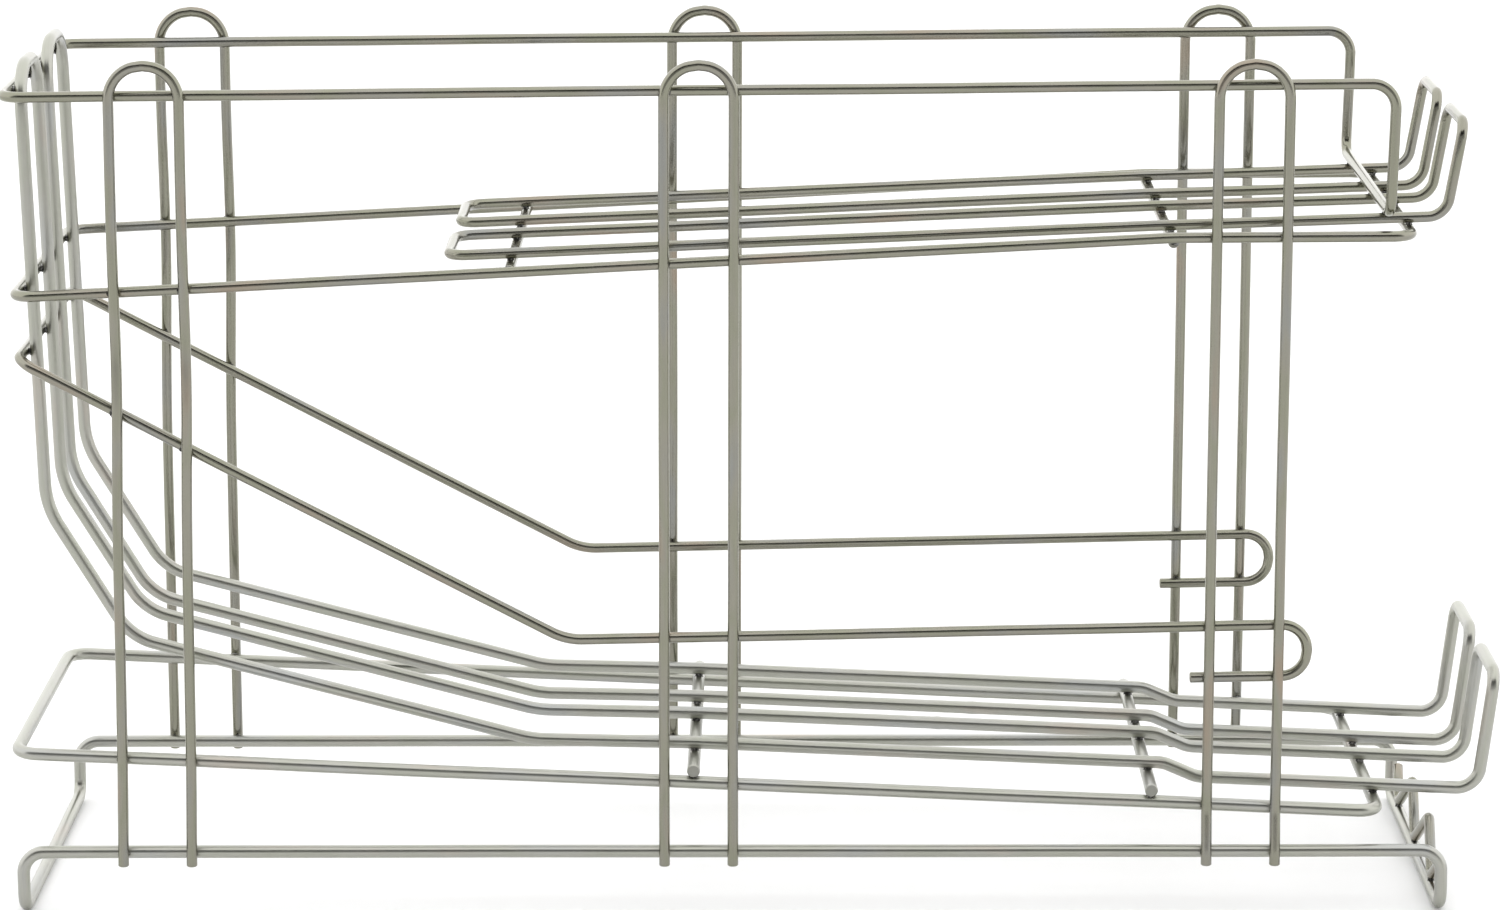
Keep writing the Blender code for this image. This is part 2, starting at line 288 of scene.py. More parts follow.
class StudioLight(bpy.types.PropertyGroup):
    """Floor, walls and ceiling"""

    floor: bpy.props.FloatVectorProperty(
        name="Floor", description="Pale floor", default=(0.8, 0.8, 0.8), size=3, subtype="COLOR"
    )
    floor_glow: bpy.props.FloatProperty(
        name="Floor Glow", description="Light that comes through the floor's paper from below", default=0.1
    )
    floor_size: bpy.props.FloatProperty(
        name="Floor Size", description="Side of the floor", default=14.0, subtype="DISTANCE", unit="LENGTH"
    )
    ceiling: bpy.props.FloatProperty(
        name="Ceiling", description="Brightness of the ceiling and the lit walls", default=1.75
    )
    gap: bpy.props.FloatProperty(
        name="Gap", description="Brightness of the dark opening over the dim wall", default=0.03
    )
    wall: bpy.props.FloatProperty(
        name="Wall", description="Brightness of the dim wall on the left side", default=0.48
    )
    gap_top: bpy.props.FloatProperty(
        name="Gap Top",
        description="Elevation of the top of the dark opening",
        default=math.radians(46),
        subtype="ANGLE",
    )
    gap_foot: bpy.props.FloatProperty(
        name="Gap Foot",
        description="Elevation of the foot of the dark opening",
        default=math.radians(20),
        subtype="ANGLE",
    )


class Viewpoint(bpy.types.PropertyGroup):
    """Where the camera stands and how it looks"""

    place: bpy.props.FloatVectorProperty(
        name="Place",
        description="Where the camera stands",
        default=(9.5 * MM, -2379.6 * MM, 759.6 * MM),
        size=3,
        subtype="TRANSLATION",
        unit="LENGTH",
    )
    turn: bpy.props.FloatProperty(
        name="Turn", description="Turn to the right of +Y", default=-0.00557, subtype="ANGLE"
    )
    dip: bpy.props.FloatProperty(
        name="Dip", description="Tilt below the horizontal", default=0.22535, subtype="ANGLE"
    )
    roll: bpy.props.FloatProperty(
        name="Roll", description="Roll about the view line", default=-0.00291, subtype="ANGLE"
    )
    lens: bpy.props.FloatProperty(
        name="Lens", description="Focal length on a 36 mm sensor", default=114.1, unit="CAMERA"
    )


# ---------------------------------------------------------------- wires of the frame


class Run:
    """Centre line of one wire: its points, whether it closes on itself, and its round radius."""

    def __init__(self, node):
        rings, self.closed = section_rings(node)
        self.points = [sum(ring, Vector()) / len(ring) for ring in rings]
        corner = min((v - self.points[0]).length for v in rings[0])
        self.radius = corner * ROUND_SHARE
        self.node = node

    def spans(self):
        """Pairs of neighbouring points."""
        ends = self.points[1:] + (self.points[:1] if self.closed else [])
        return list(zip(self.points, ends))


def section_rings(node):
    """The rings of corners that a wire of the frame is made of, in order along it."""
    mesh = frame["nodes"][node].data
    number = {}
    corners = []
    index = []
    for vert in mesh.vertices:
        key = tuple(round(c / MERGE) for c in vert.co)
        if key not in number:
            number[key] = len(corners)
            corners.append(vert.co.copy())
        index.append(number[key])
    near = [set() for _ in corners]
    for edge in mesh.edges:
        a, b = (index[v] for v in edge.vertices)
        if a != b:
            near[a].add(b)
            near[b].add(a)
    pairs = [(a, b) for a, others in enumerate(near) for b in others]
    a, b = max(pairs, key=lambda pair: (corners[pair[0]] - corners[pair[1]]).length)
    middle = (corners[a] + corners[b]) / 2
    along = (corners[b] - corners[a]).normalized()
    behind, ahead = set(), set()
    for p, q in pairs:
        low = (corners[p] - middle).dot(along)
        high = (corners[q] - middle).dot(along)
        if low < 0 < high:
            cut = corners[p].lerp(corners[q], low / (low - high))
            if (cut - middle).length < CUT_REACH:
                behind.add(p)
                ahead.add(q)
    layers = [behind, ahead]
    seen = behind | ahead

    def beyond(layer):
        return set().union(*(near[v] for v in layer)) - seen

    while step := beyond(layers[0]):
        layers.insert(0, step)
        seen |= step
    closed = len(layers) > 2 and any(near[v] & ahead for v in layers[0])
    while step := beyond(layers[-1]):
        layers.append(step)
        seen |= step
    if any(len(layer) != FACETS for layer in layers):
        raise RuntimeError(f"{node} isn't a wire of {FACETS} sides")
    return [[corners[v] for v in layer] for layer in layers], closed


@cache
def run_of(node):
    """The centre line of a node, read once."""
    return Run(node)


def directions(points, closed):
    """Travel direction at each point: the longer neighbour's own, or the mean of two equal chords."""
    count = len(points)
    found = []
    for i, here in enumerate(points):
        back = here - points[i - 1] if closed or i else None
        on = points[(i + 1) % count] - here if closed or i < count - 1 else None
        if back is None or (on is not None and on.length > STRAIGHT_RATIO * back.length):
            found.append(on.normalized())
        elif on is None or back.length > STRAIGHT_RATIO * on.length:
            found.append(back.normalized())
        else:
            found.append((back.normalized() + on.normalized()).normalized())
    return found


def smooth_line(run, fine_step):
    """Evenly spaced points on the smooth line through a run, each marked when it lies in a bend."""
    heading = directions(run.points, run.closed)
    count = len(run.points)
    line = []
    for i, (start, end) in enumerate(run.spans()):
        chord = end - start
        length = chord.length
        straight = length > SPAN_IS_LONG
        t0 = chord.normalized() if straight else heading[i]
        t1 = t0 if straight else heading[(i + 1) % count]
        bent = min(t0.dot(chord), t1.dot(chord)) < STRAIGHT_SHARE * length
        steps = max(1, math.ceil(length / fine_step))
        for k in range(steps):
            t = k / steps
            point = (
                start * (2 * t**3 - 3 * t**2 + 1)
                + t0 * length * (t**3 - 2 * t**2 + t)
                + end * (3 * t**2 - 2 * t**3)
                + t1 * length * (t**3 - t**2)
            )
            line.append((point, bent))
    if not run.closed:
        line.append((run.points[-1].copy(), False))
    return line


# ---------------------------------------------------------------- welds


class Weld:
    """One place where two wires touch: the point, the wires' axes and radii, and the way across."""

    def __init__(self, first, second, place_a, place_b, axis_a, axis_b, butt):
        self.names = (first.node, second.node)
        self.across = (place_b - place_a).normalized()
        self.gap = max(0.0, (place_b - place_a).length - first.radius - second.radius)
        self.place = place_a + self.across * (first.radius + self.gap / 2)
        self.axes = (axis_a, axis_b)
        self.radii = (first.radius, second.radius)
        self.butt = butt


def nearest_points(p, q, r, s):
    """The closest points of two spans, p-q and r-s."""
    met = geometry.intersect_line_line(p, q, r, s)
    if met is None:
        met = (p.lerp(q, 0.5), r.lerp(s, 0.5))
    a = along_span(met[0], p, q)
    b = along_span(a, r, s)
    return along_span(b, p, q), b


def along_span(point, start, end):
    """The point of a span that lies nearest to a point."""
    share = geometry.intersect_point_line(point, start, end)[1]
    return start.lerp(end, min(1.0, max(0.0, share)))


def at_open_end(run, point):
    """Whether a point is the sheared end of a wire."""
    ends = () if run.closed else (run.points[0], run.points[-1])
    return any((end - point).length < AT_END for end in ends)


def boxes_meet(first, second, margin):
    """Whether two boxes overlap or lie within a margin of each other."""
    (low_a, high_a), (low_b, high_b) = first, second
    return all(low_a[k] - margin < high_b[k] and low_b[k] - margin < high_a[k] for k in range(3))


def span_box(p, q):
    """The box round one span."""
    return (
        Vector(min(p[k], q[k]) for k in range(3)),
        Vector(max(p[k], q[k]) for k in range(3)),
    )


def welds_between(first, second):
    """The welds of one pair of wires, the closest point of each."""
    touching = first.radius + second.radius + WELD_GAP
    found = []
    for p, q in first.spans():
        box = span_box(p, q)
        if not boxes_meet(box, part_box(second.node), touching):
            continue
        for r, s in second.spans():
            if not boxes_meet(box, span_box(r, s), touching):
                continue
            axis_a = (q - p).normalized()
            axis_b = (s - r).normalized()
            both_long = min((q - p).length, (s - r).length) > SPAN_IS_LONG
            if both_long and abs(axis_a.dot(axis_b)) > ALONGSIDE:
                continue
            a, b = nearest_points(p, q, r, s)
            if (b - a).length < touching:
                found.append(((b - a).length, a, b, axis_a, axis_b))
    kept = []
    for _, a, b, axis_a, axis_b in sorted(found, key=lambda item: item[0]):
        if all((a - weld.place).length > SAME_WELD for weld in kept):
            butt = at_open_end(first, a) or at_open_end(second, b)
            kept.append(Weld(first, second, a, b, axis_a, axis_b, butt))
    return kept


@cache
def all_welds():
    """Every weld of the rack, found once."""
    found = []
    for a, b in combinations(WIRES, 2):
        if boxes_meet(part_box(a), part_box(b), WELD_GAP):
            found.extend(welds_between(run_of(a), run_of(b)))
    return found


def weld_tree(node=None):
    """Search tree of weld places, of one wire or of all."""
    places = [weld.place for weld in all_welds() if node is None or node in weld.names]
    tree = kdtree.KDTree(len(places))
    for i, place in enumerate(places):
        tree.insert(place, i)
    tree.balance()
    return tree, len(places)


def weld_distance(tree, point):
    """How far a point lies from the nearest weld of a search tree."""
    searcher, count = tree
    return searcher.find(point)[2] if count else NO_WELD_NEAR


# ---------------------------------------------------------------- building a wire


def strayed(point, shape, seed):
    """A point moved by the slow waver of its wire."""
    where = point / shape.waver_length + Vector((WAVER_STEP_X * seed, WAVER_STEP_Y * seed, 0.0))
    return point + noise.noise_vector(where) * shape.waver


def die_shift(node, point, shape):
    """The set that the bending die left: the leg steps forward below the mark and eases back."""
    if node not in DIE_MARKS:
        return 0.0
    return shape.die_shift * bell(point.z - DIE_MARKS[node], DIE_SHIFT_LENGTH)


def wire_line(node, shape, dark_reach):
    """Points along the finished wire, close together only in bends, at marks and near welds."""
    noise.seed_set(WAVER_SEED)
    run = run_of(node)
    tree = weld_tree(node)
    seed = WIRES.index(node)
    line = []
    since = 0.0
    before = None
    raw = smooth_line(run, shape.fine_step)
    for i, (point, bent) in enumerate(raw):
        since += (point - before).length if before is not None else 0.0
        before = point
        busy = bent or weld_distance(tree, point) < FINE_NEAR_WELD * dark_reach or near_mark(node, point)
        edge = not run.closed and i in (0, len(raw) - 1)
        if busy or edge or not line or since > shape.coarse_step:
            moved = strayed(point, shape, seed)
            moved.x += die_shift(node, point, shape)
            line.append(moved)
            since = 0.0
    if not run.closed:
        line = with_ends(line, shape.burr)
    return line


def near_mark(node, point):
    """Whether a point lies where the wire's own marks need fine sections."""
    if node in SEAMS:
        inner = abs(point.y) < INNER_WIRE_Y
        return inner and abs(point.x - SEAMS[node]) < SEAM_REACH and point.z < SEAM_TOP
    return node in DIE_MARKS and abs(point.z - DIE_MARKS[node]) < DIE_REACH


def with_ends(line, burr):
    """Adds the section just inside each sheared end, where its rounding starts."""
    first = line[0] + (line[1] - line[0]).normalized() * burr
    last = line[-1] + (line[-2] - line[-1]).normalized() * burr
    inside = [p for p in line[1:-1] if min((p - line[0]).length, (p - line[-1]).length) > 2 * burr]
    return [line[0], first, *inside, last, line[-1]]


def section_axes(line, closed):
    """Two axes across the wire at each point, carried along without twist and closed up evenly."""
    count = len(line)
    tangents = []
    for i in range(count):
        back = line[i - 1] if closed or i else line[0]
        on = line[(i + 1) % count] if closed or i < count - 1 else line[-1]
        tangents.append((on - back).normalized())
    guide = Vector((0, 0, 1)) if abs(tangents[0].z) < STEEP else Vector((1, 0, 0))
    normal = (guide - tangents[0] * guide.dot(tangents[0])).normalized()
    normals = [normal]
    for before, here in zip(tangents, tangents[1:]):
        normal = before.rotation_difference(here) @ normal
        normal = (normal - here * normal.dot(here)).normalized()
        normals.append(normal)
    if closed:
        back = tangents[-1].rotation_difference(tangents[0]) @ normals[-1]
        side = tangents[0].cross(normals[0])
        spin = math.atan2(back.dot(side), back.dot(normals[0]))
        normals = [Matrix.Rotation(-spin * i / count, 3, tangents[i]) @ n for i, n in enumerate(normals)]
    return tangents, normals


def wire_radius(run, point, shape):
    """Round radius at a point, swollen at a butt seam."""
    radius = run.radius
    if run.node in SEAMS and near_mark(run.node, point):
        radius *= 1 + shape.seam_swell * bell(point.x - SEAMS[run.node], SEAM_WIDTH)
    return radius


def die_dent(node, point, arm):
    """Share of the radius lost where the die pressed a flat on the wire's outer face."""
    if node not in DIE_MARKS:
        return 0.0
    facing = max(0.0, -arm.y)
    return DIE_DENT * bell(point.z - DIE_MARKS[node], DIE_DENT_LENGTH) * facing**3


def make_wire(context, node, material):
    """Sweeps one round wire over its frame wire, with its shading attributes."""
    shape = context.scene.rack_wire_shape
    welds = context.scene.rack_weld_shape
    run = run_of(node)
    line = wire_line(node, shape, welds.dark_reach)
    tangents, normals = section_axes(line, run.closed)
    count = len(line)
    sides = shape.sides
    verts = []
    travel = [0.0]
    for a, b in zip(line, line[1:] + line[:1]):
        travel.append(travel[-1] + (b - a).length)
    start = STAIN_STEP * WIRES.index(node)
    for i, point in enumerate(line):
        side = tangents[i].cross(normals[i])
        radius = wire_radius(run, point, shape)
        if not run.closed and i in (0, count - 1):
            radius -= shape.burr
        for k in range(sides):
            angle = 2 * math.pi * k / sides
            arm = normals[i] * math.cos(angle) + side * math.sin(angle)
            verts.append(point + arm * radius * (1 - die_dent(node, point, arm)))
    faces = []
    straightened = []

    def flat(i, k):
        """Where a corner would lie if the wire were pulled straight along Z."""
        angle = 2 * math.pi * k / sides
        return (math.cos(angle) * run.radius, math.sin(angle) * run.radius, start + travel[i])

    for i in range(count if run.closed else count - 1):
        j = (i + 1) % count
        for k in range(sides):
            m = (k + 1) % sides
            faces.append((i * sides + k, i * sides + m, j * sides + m, j * sides + k))
            straightened += [flat(i, k), flat(i, m), flat(i + 1, m), flat(i + 1, k)]
    tube_faces = len(faces)
    if not run.closed:
        faces.append(tuple(reversed(range(sides))))
        straightened += [flat(0, k) for k in reversed(range(sides))]
        faces.append(tuple((count - 1) * sides + k for k in range(sides)))
        straightened += [flat(count - 1, k) for k in range(sides)]
    mesh = bpy.data.meshes.new(node + "_wire")
    mesh.from_pydata(verts, [], faces)
    mesh.polygons.foreach_set("use_smooth", [i < tube_faces for i in range(len(faces))])
    lay = mesh.attributes.new("pulled_straight", "FLOAT_VECTOR", "CORNER")
    lay.data.foreach_set("vector", [c for point in straightened for c in point])
    tree = weld_tree(node)
    # 1 at a weld and less further away: how far the wire is darkened there
    heat = mesh.attributes.new("heat", "FLOAT", "POINT")
    heat.data.foreach_set("value", [bell(weld_distance(tree, v), welds.dark_reach) for v in verts])
    cut = mesh.attributes.new("cut", "FLOAT", "FACE")
    cut.data.foreach_set("value", [float(i >= tube_faces) for i in range(len(faces))])
    # mask of the dark reflection painted on the die marks
    die_reflection = mesh.attributes.new("die_reflection", "FLOAT", "POINT")
    die_reflection.data.foreach_set("value", [paint_die_reflection(node, v, line, i // sides) for i, v in enumerate(verts)])
    mesh.materials.append(material)
    mesh.update()
    piece = bpy.data.objects.new(node + "_wire", mesh)
    context.scene.collection.objects.link(piece)
    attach(piece, BODY)
    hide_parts(node)
    return piece


def paint_die_reflection(node, vert, line, ring):
    """How strongly a corner of a rear upright is painted with a dark reflection at the die mark, on its
    side towards -Y.
    """
    if node not in DIE_MARKS:
        return 0.0
    facing = max(0.0, (line[ring].y - vert.y) / DIE_REFLECTION_WIDTH)
    return bell(vert.z - DIE_MARKS[node] - DIE_REFLECTION_RISE, DIE_REFLECTION_LENGTH) * min(1.0, facing) ** 4


# ---------------------------------------------------------------- weld metal


def wire_surface(offset, axis, radius):
    """How far a wire's surface falls away at an offset across it."""
    lateral = (offset - axis * offset.dot(axis)).length
    lateral = min(lateral, SURFACE_EDGE * radius)
    return radius - math.sqrt(radius**2 - lateral**2)


def bead(weld, shape, seed):
    """Corners and faces of the weld metal that fills the wedge between two wires."""
    up = weld.across
    first = (weld.axes[0] - up * up.dot(weld.axes[0])).normalized()
    second = up.cross(first)
    small = min(weld.radii)
    verts = []
    for level in range(BEAD_LEVELS + 1):
        height = 2 * level / BEAD_LEVELS - 1
        for k in range(BEAD_AROUND):
            angle = 2 * math.pi * k / BEAD_AROUND
            out = first * math.cos(angle) + second * math.sin(angle)
            where = Vector((seed * BEAD_STEP_X, seed * BEAD_STEP_Y, BEAD_GRAIN_RISE * height))
            rough = noise.noise(out * BEAD_GRAIN + where)
            reach = shape.reach * small * (1 + BEAD_ROUGH * rough) * (1 + shape.side_flash * abs(up.y))
            reach *= 1 - shape.waist * (1 - height**2)
            floor = -wire_surface(out * reach, weld.axes[0], weld.radii[0]) - weld.gap / 2 - shape.sink
            roof = wire_surface(out * reach, weld.axes[1], weld.radii[1]) + weld.gap / 2 + shape.sink
            if weld.butt:
                roof = weld.gap / 2 + shape.sink
            lift = floor + (roof - floor) * (height + 1) / 2
            verts.append(weld.place + out * reach + up * lift)
    faces = []
    for level in range(BEAD_LEVELS):
        for k in range(BEAD_AROUND):
            m = (k + 1) % BEAD_AROUND
            low = level * BEAD_AROUND
            high = low + BEAD_AROUND
            faces.append((low + k, low + m, high + m, high + k))
    top = BEAD_LEVELS * BEAD_AROUND
    verts.append(weld.place - up * (weld.gap / 2 + shape.sink))
    verts.append(weld.place + up * (weld.gap / 2 + shape.sink))
    for k in range(BEAD_AROUND):
        m = (k + 1) % BEAD_AROUND
        faces.append((m, k, len(verts) - 2))
        faces.append((top + k, top + m, len(verts) - 1))
    return verts, faces


def host_of(weld):
    """The ring or bar that a weld is filed under."""
    for host in WELD_HOSTS:
        if any(name.startswith(host) for name in weld.names):
            return host
    raise RuntimeError("a weld joins " + " and ".join(weld.names) + ", which have no group")


def make_weld_metal(context, host, material):
    """All the weld metal of one ring or pair of bars, as one piece."""
    shape = context.scene.rack_weld_shape
    verts, faces = [], []
    for seed, weld in enumerate(all_welds()):
        if host_of(weld) != host:
            continue
        more, round_them = bead(weld, shape, seed)
        faces += [tuple(i + len(verts) for i in face) for face in round_them]
        verts += more
    if not verts:
        raise RuntimeError(f"{host} has no welds")
    name = f"{host}_welds"
    mesh = bpy.data.meshes.new(name)
    mesh.from_pydata(verts, [], faces)
    mesh.shade_smooth()
    mesh.materials.append(material)
    piece = bpy.data.objects.new(name, mesh)
    context.scene.collection.objects.link(piece)
    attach(piece, BODY)
    return piece


# ---------------------------------------------------------------- shading

WHITE = (1.0, 1.0, 1.0)
# colour of the dark reflection painted on the die marks
DIE_REFLECTION_PAINT = (0.12, 0.118, 0.105)
BARE_WELD = (0.25, 0.247, 0.235)
CUT_SHADE = 0.72
HEAVY_STAIN = 0.55
THIN_STAIN = 1.0

# stains along a wire, in order of the slow noise that picks them
STAIN_STOPS = ((0.30, "cool"), (0.43, "plate"), (0.52, "olive"), (0.60, "plate"), (0.72, "warm"))

# noise along a wire: stretch, scale, detail
SLOW_STAIN = (6.0, 90.0, 2.0)
DRAW_LINES = (60.0, 2600.0, 2.0)
PATCHES = (3.0, 420.0, 3.0)
SPECKLE = (1.0, 900.0, 4.0)

# smooth steps: where each starts and ends
BLACKENED = (0.62, 0.9)
STRAW = (0.2, 0.7)
BARE = (0.44, 0.62)


class Value:
    """A number on a node tree: sums and products of it add Math nodes."""

    def __init__(self, tree, socket):
        self.tree = tree
        self.socket = socket

    def _with(self, operation, *values):
        inputs = dict(enumerate(values))
        return self.tree.add("ShaderNodeMath", {"operation": operation}, inputs)

    def __add__(self, other):
        return self._with("ADD", self, other)

    def __radd__(self, other):
        return self._with("ADD", other, self)

    def __sub__(self, other):
        return self._with("SUBTRACT", self, other)

    def __rsub__(self, other):
        return self._with("SUBTRACT", other, self)

    def __mul__(self, other):
        return self._with("MULTIPLY", self, other)

    def __rmul__(self, other):
        return self._with("MULTIPLY", other, self)

    def clamped(self):
        """The number kept between 0 and 1."""
        return self.tree.add("ShaderNodeClamp", {}, {"Value": self})


class Tree:
    """A node tree that is filled by one method."""

    def __init__(self, nodes):
        self.nodes = nodes
        self.nodes.nodes.clear()

    def add(self, kind, settings=None, inputs=None, output=0):
        """Adds a node: its settings first, then its sockets' values and links."""
        node = self.nodes.nodes.new(kind)
        for name, value in (settings or {}).items():
            if name == "stops":
                set_stops(node.color_ramp, value)
            else:
                setattr(node, name, value)
        for name, value in (inputs or {}).items():
            if isinstance(value, Value):
                self.nodes.links.new(value.socket, node.inputs[name])
            else:
                node.inputs[name].default_value = value
        if not node.outputs:
            return None
        return Value(self, node.outputs[output])

    def mix(self, share, first, second):
        """A colour between two colours."""
        settings = {"data_type": "RGBA", "clamp_factor": True}
        return self.add("ShaderNodeMix", settings, {0: share, 6: first, 7: second}, output=2)

    def step(self, value, low, high):
        """0 below low, 1 above high, and smooth between them."""
        settings = {"interpolation_type": "SMOOTHSTEP"}
        return self.add("ShaderNodeMapRange", settings, {"Value": value, "From Min": low, "From Max": high})

    def grain(self, place, stretch, scale, detail):
        """Noise along the wire, drawn out by a stretch along its length."""
        laid = self.add("ShaderNodeMapping", {}, {"Vector": place, "Scale": (1.0, 1.0, 1.0 / stretch)})
        inputs = {"Vector": laid, "Scale": scale, "Detail": detail}
        return self.add("ShaderNodeTexNoise", {}, inputs)


def set_stops(ramp, stops):
    """Colour ramp stops as (position, colour)."""
    while len(ramp.elements) > 1:
        ramp.elements.remove(ramp.elements[-1])
    for i, (position, colour) in enumerate(stops):
        stop = ramp.elements[0] if i == 0 else ramp.elements.new(position)
        stop.position = position
        stop.color = colour


def rgba(colour):
    """A colour with full alpha."""
    return (*colour, 1.0)


def new_material(name):
    """An empty material and its node tree."""
    material = bpy.data.materials.new(name)
    material.use_nodes = True
    return material, Tree(material.node_tree)


def zinc_material(name, finish, tint, roughness, stain):
    """Drawn, zinc-plated wire: faint stains along it, fine draw lines, near-black darkening near the welds,
    and a painted dark reflection at the die marks of the rear uprights.
    """
    material, tree = new_material(name)
    zinc = {
        key: tuple(c * t for c, t in zip(getattr(finish, key), tint))
        for key in ("plate", "warm", "olive", "cool")
    }
    place = tree.add("ShaderNodeAttribute", {"attribute_name": "pulled_straight"}, output=1)
    heat = tree.add("ShaderNodeAttribute", {"attribute_name": "heat"}, output=2)
    cut = tree.add("ShaderNodeAttribute", {"attribute_name": "cut"}, output=2)
    die_reflection = tree.add("ShaderNodeAttribute", {"attribute_name": "die_reflection"}, output=2)
    slow = tree.grain(place, *SLOW_STAIN)
    stops = [(position, rgba(zinc[key])) for position, key in STAIN_STOPS]
    stained = tree.add("ShaderNodeValToRGB", {"stops": stops}, {"Fac": slow})
    colour = tree.mix(stain, rgba(zinc["plate"]), stained)
    lines = tree.grain(place, *DRAW_LINES)
    patches = tree.grain(place, *PATCHES)
    shade = 0.86 + 0.2 * lines + 0.1 * patches
    colour = tree.add("ShaderNodeVectorMath", {"operation": "SCALE"}, {0: colour, "Scale": shade})
    dull = tuple(CUT_SHADE * c for c in zinc["plate"])
    colour = tree.mix(cut * 0.8, colour, rgba(dull))
    # paints a patchy dark reflection on the -Y side of each die mark
    colour = tree.mix((die_reflection * (0.35 + patches)).clamped() * 0.75, colour, rgba(DIE_REFLECTION_PAINT))
    speckle = tree.grain(place, *SPECKLE)
    # close to each weld the wire is darkened to near-black, and a little further out it is tinted warm
    blackened = tree.step(heat + 0.5 * (speckle - 0.5), *BLACKENED)
    straw = tree.step(heat + 0.3 * (speckle - 0.5), *STRAW)
    colour = tree.mix(straw * 0.45, colour, rgba(zinc["warm"]))
    colour = tree.mix(blackened * 0.93, colour, rgba(finish.weld_dark))
    rough = roughness - 0.05 + 0.07 * patches + 0.03 * lines + 0.28 * blackened + 0.2 * cut
    height = 0.6 * lines + 0.4 * patches + 0.5 * blackened * speckle
    bump = tree.add("ShaderNodeBump", {}, {"Strength": 0.35, "Distance": 0.06 * MM, "Height": height})
    inputs = {"Base Color": colour, "Metallic": 1.0, "Roughness": rough, "Normal": bump}
    shader = tree.add("ShaderNodeBsdfPrincipled", {}, inputs)
    tree.add("ShaderNodeOutputMaterial", {}, {"Surface": shader})
    return material


def weld_material(name, finish):
    """Weld metal: dark oxide with bare grey high spots."""
    material, tree = new_material(name)
    place = tree.add("ShaderNodeTexCoord", {}, output=3)
    lumps = tree.add("ShaderNodeTexNoise", {}, {"Vector": place, "Scale": 700.0, "Detail": 4.0})
    bare = tree.step(lumps, *BARE)
    colour = tree.mix(bare * 0.8, rgba(finish.weld_dark), rgba(BARE_WELD))
    rough = 0.6 - 0.22 * bare
    bump = tree.add("ShaderNodeBump", {}, {"Strength": 0.6, "Distance": 0.2 * MM, "Height": lumps})
    inputs = {"Base Color": colour, "Metallic": 0.85, "Roughness": rough, "Normal": bump}
    shader = tree.add("ShaderNodeBsdfPrincipled", {}, inputs)
    tree.add("ShaderNodeOutputMaterial", {}, {"Surface": shader})
    return material


def wire_material(context, node):
    """The material of a wire's gauge, made once."""
    finish = context.scene.rack_finish
    heavy = node in HEAVY_NODES
    name = "heavy_zinc_wire" if heavy else "thin_zinc_wire"
    if name in bpy.data.materials:
        return bpy.data.materials[name]
    if heavy:
        return zinc_material(name, finish, WHITE, finish.heavy_roughness, HEAVY_STAIN)
    return zinc_material(name, finish, finish.thin_tint, finish.thin_roughness, THIN_STAIN)


def weld_metal(context):
    """The material of the weld metal, made once."""
    name = "weld_metal"
    if name in bpy.data.materials:
        return bpy.data.materials[name]
    return weld_material(name, context.scene.rack_finish)


# ---------------------------------------------------------------- operators


class WirePieces:
    """Makes the wires that an operator lists."""

    nodes = ()

    def execute(self, context):
        for node in self.nodes:
            make_wire(context, node, wire_material(context, node))
        return {"FINISHED"}


class RACK_OT_base_ring(WirePieces, bpy.types.Operator):
    """Bend the heavy base ring whose two ends are turned down into feet"""

    bl_idname = "rack.base_ring"
    bl_label = "Base Ring"
    nodes = ("base_ring",)


class RACK_OT_ramp_rings(WirePieces, bpy.types.Operator):
    """Bend the two sloping rings that carry the runways"""

    bl_idname = "rack.ramp_rings"
    bl_label = "Ramp Rings"
    nodes = ("lower_ramp_ring", "upper_ramp_ring")


class RACK_OT_top_ring(WirePieces, bpy.types.Operator):
    """Bend the level ring round the top, with its front turned down to the upper runway"""

    bl_idname = "rack.top_ring"
    bl_label = "Top Ring"
    nodes = ("top_ring",)


class RACK_OT_mid_guide(WirePieces, bpy.types.Operator):
    """Bend the guide that falls from the back and hooks round at its two front ends"""

    bl_idname = "rack.mid_guide"
    bl_label = "Middle Guide"
    nodes = ("mid_guide",)


class RACK_OT_uprights(WirePieces, bpy.types.Operator):
    """Bend the six hairpin uprights"""

    bl_idname = "rack.uprights"
    bl_label = "Uprights"
    nodes = tuple(node for node in WIRES if "upright" in node)


class RACK_OT_runners(WirePieces, bpy.types.Operator):
    """Bend the four long loops that cans roll on"""

    bl_idname = "rack.runners"
    bl_label = "Runners"
    nodes = tuple(node for node in WIRES if "runner" in node)


class RACK_OT_cross_bars(WirePieces, bpy.types.Operator):
    """Cut the four straight bars under the runners"""

    bl_idname = "rack.cross_bars"
    bl_label = "Cross Bars"
    nodes = tuple(node for node in WIRES if "cross_bar" in node)


class RACK_OT_front_zigzag(WirePieces, bpy.types.Operator):
    """Bend the zigzag that stands on the front foot bar"""

    bl_idname = "rack.front_zigzag"
    bl_label = "Front Zigzag"
    nodes = ("front_zigzag_wire",)


class RACK_OT_welds(bpy.types.Operator):
    """Fill every crossing with weld metal"""

    bl_idname = "rack.welds"
    bl_label = "Welds"

    def execute(self, context):
        for host in WELD_HOSTS:
            make_weld_metal(context, host, weld_metal(context))
        return {"FINISHED"}


class RACK_OT_studio(bpy.types.Operator):
    """Lay the pale floor, light the room and stand the camera"""

    bl_idname = "rack.studio"
    bl_label = "Studio"

    def execute(self, context):
        scene = context.scene
        lay_floor(scene, scene.rack_light)
        hang_lights(scene, scene.rack_light)
        stand_camera(scene, scene.rack_view)
        scene.view_settings.view_transform = "Standard"
        return {"FINISHED"}


# ---------------------------------------------------------------- studio

SENSOR_WIDTH = 36.0
VIEW_DEPTH = 100.0
# the left side of the room: share of a look that goes to -Y
LEFT_FROM = 0.45
LEFT_TO = 0.62
SOFT_EDGE = math.radians(1.5)


